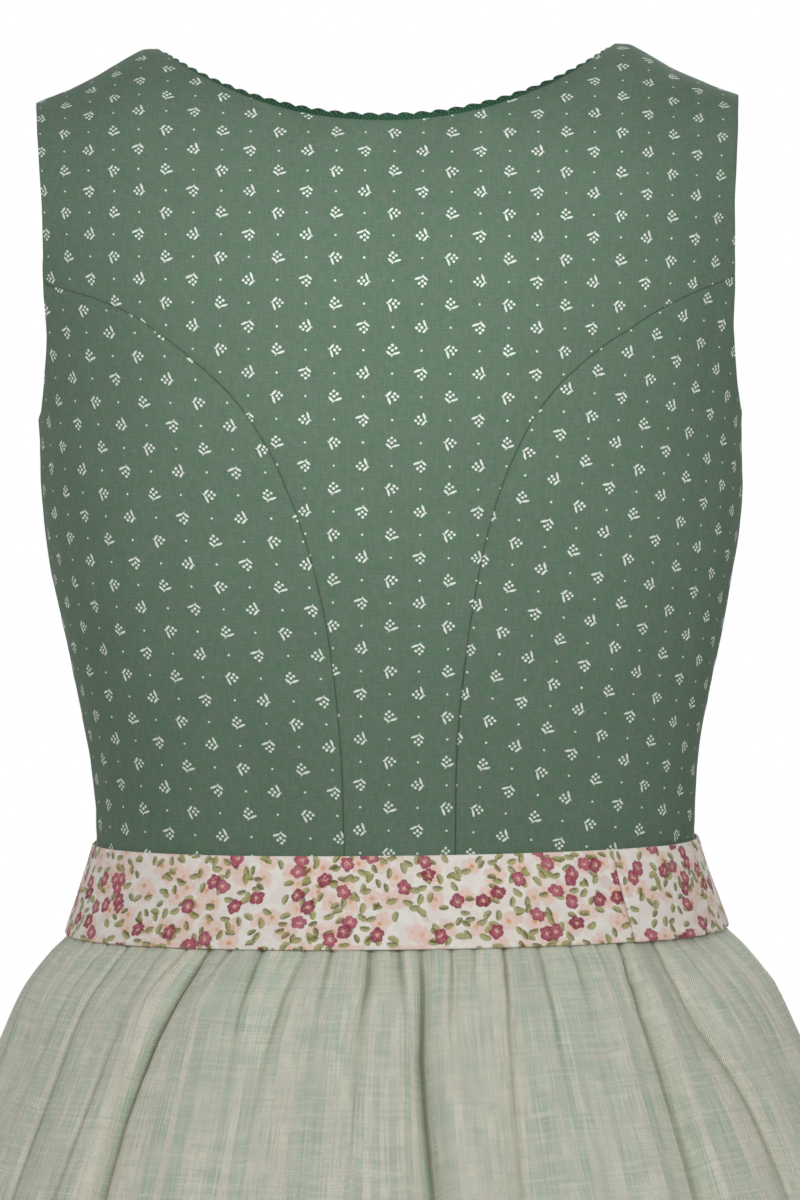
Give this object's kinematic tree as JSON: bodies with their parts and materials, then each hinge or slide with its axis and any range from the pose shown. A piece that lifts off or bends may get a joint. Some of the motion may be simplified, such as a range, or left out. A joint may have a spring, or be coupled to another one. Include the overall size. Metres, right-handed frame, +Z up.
{
  "type": "dirndl dress with apron",
  "caption": "Sleeveless dirndl: fitted princess-seamed bodice with rickrack neck, full gathered skirt and an apron on a broad waistband, in worn hollow form.",
  "frame": {"origin": "midway between the tops of the two shoulders, where the wearer carries the dress", "axes": "+Z up the wearer, -Y to the front of the dress, +X to the wearer's left"},
  "size_m": [0.8288, 0.7464, 1.1004],
  "materials": {
    "bodice_cotton": "matt plain weave, green with a small white sprig and dot print",
    "rickrack": "matt woven wavy braid, dark green",
    "apron_cotton": "matt plain weave, cream with a small floral print",
    "skirt_weave": "matt herringbone weave, sage with uneven cream stripes"
  },
  "bodies": {
    "root": {"back_centre": "bodice_cotton", "back_side_left": "bodice_cotton", "back_side_right": "bodice_cotton", "front_side_left": "bodice_cotton", "front_side_right": "bodice_cotton", "front_centre_left": "bodice_cotton", "front_centre_right": "bodice_cotton", "neck_rickrack": "rickrack", "apron_waistband": "apron_cotton", "apron_skirt": "apron_cotton", "skirt_back": "skirt_weave", "skirt_front": "skirt_weave"}
  },
  "joints": []
}
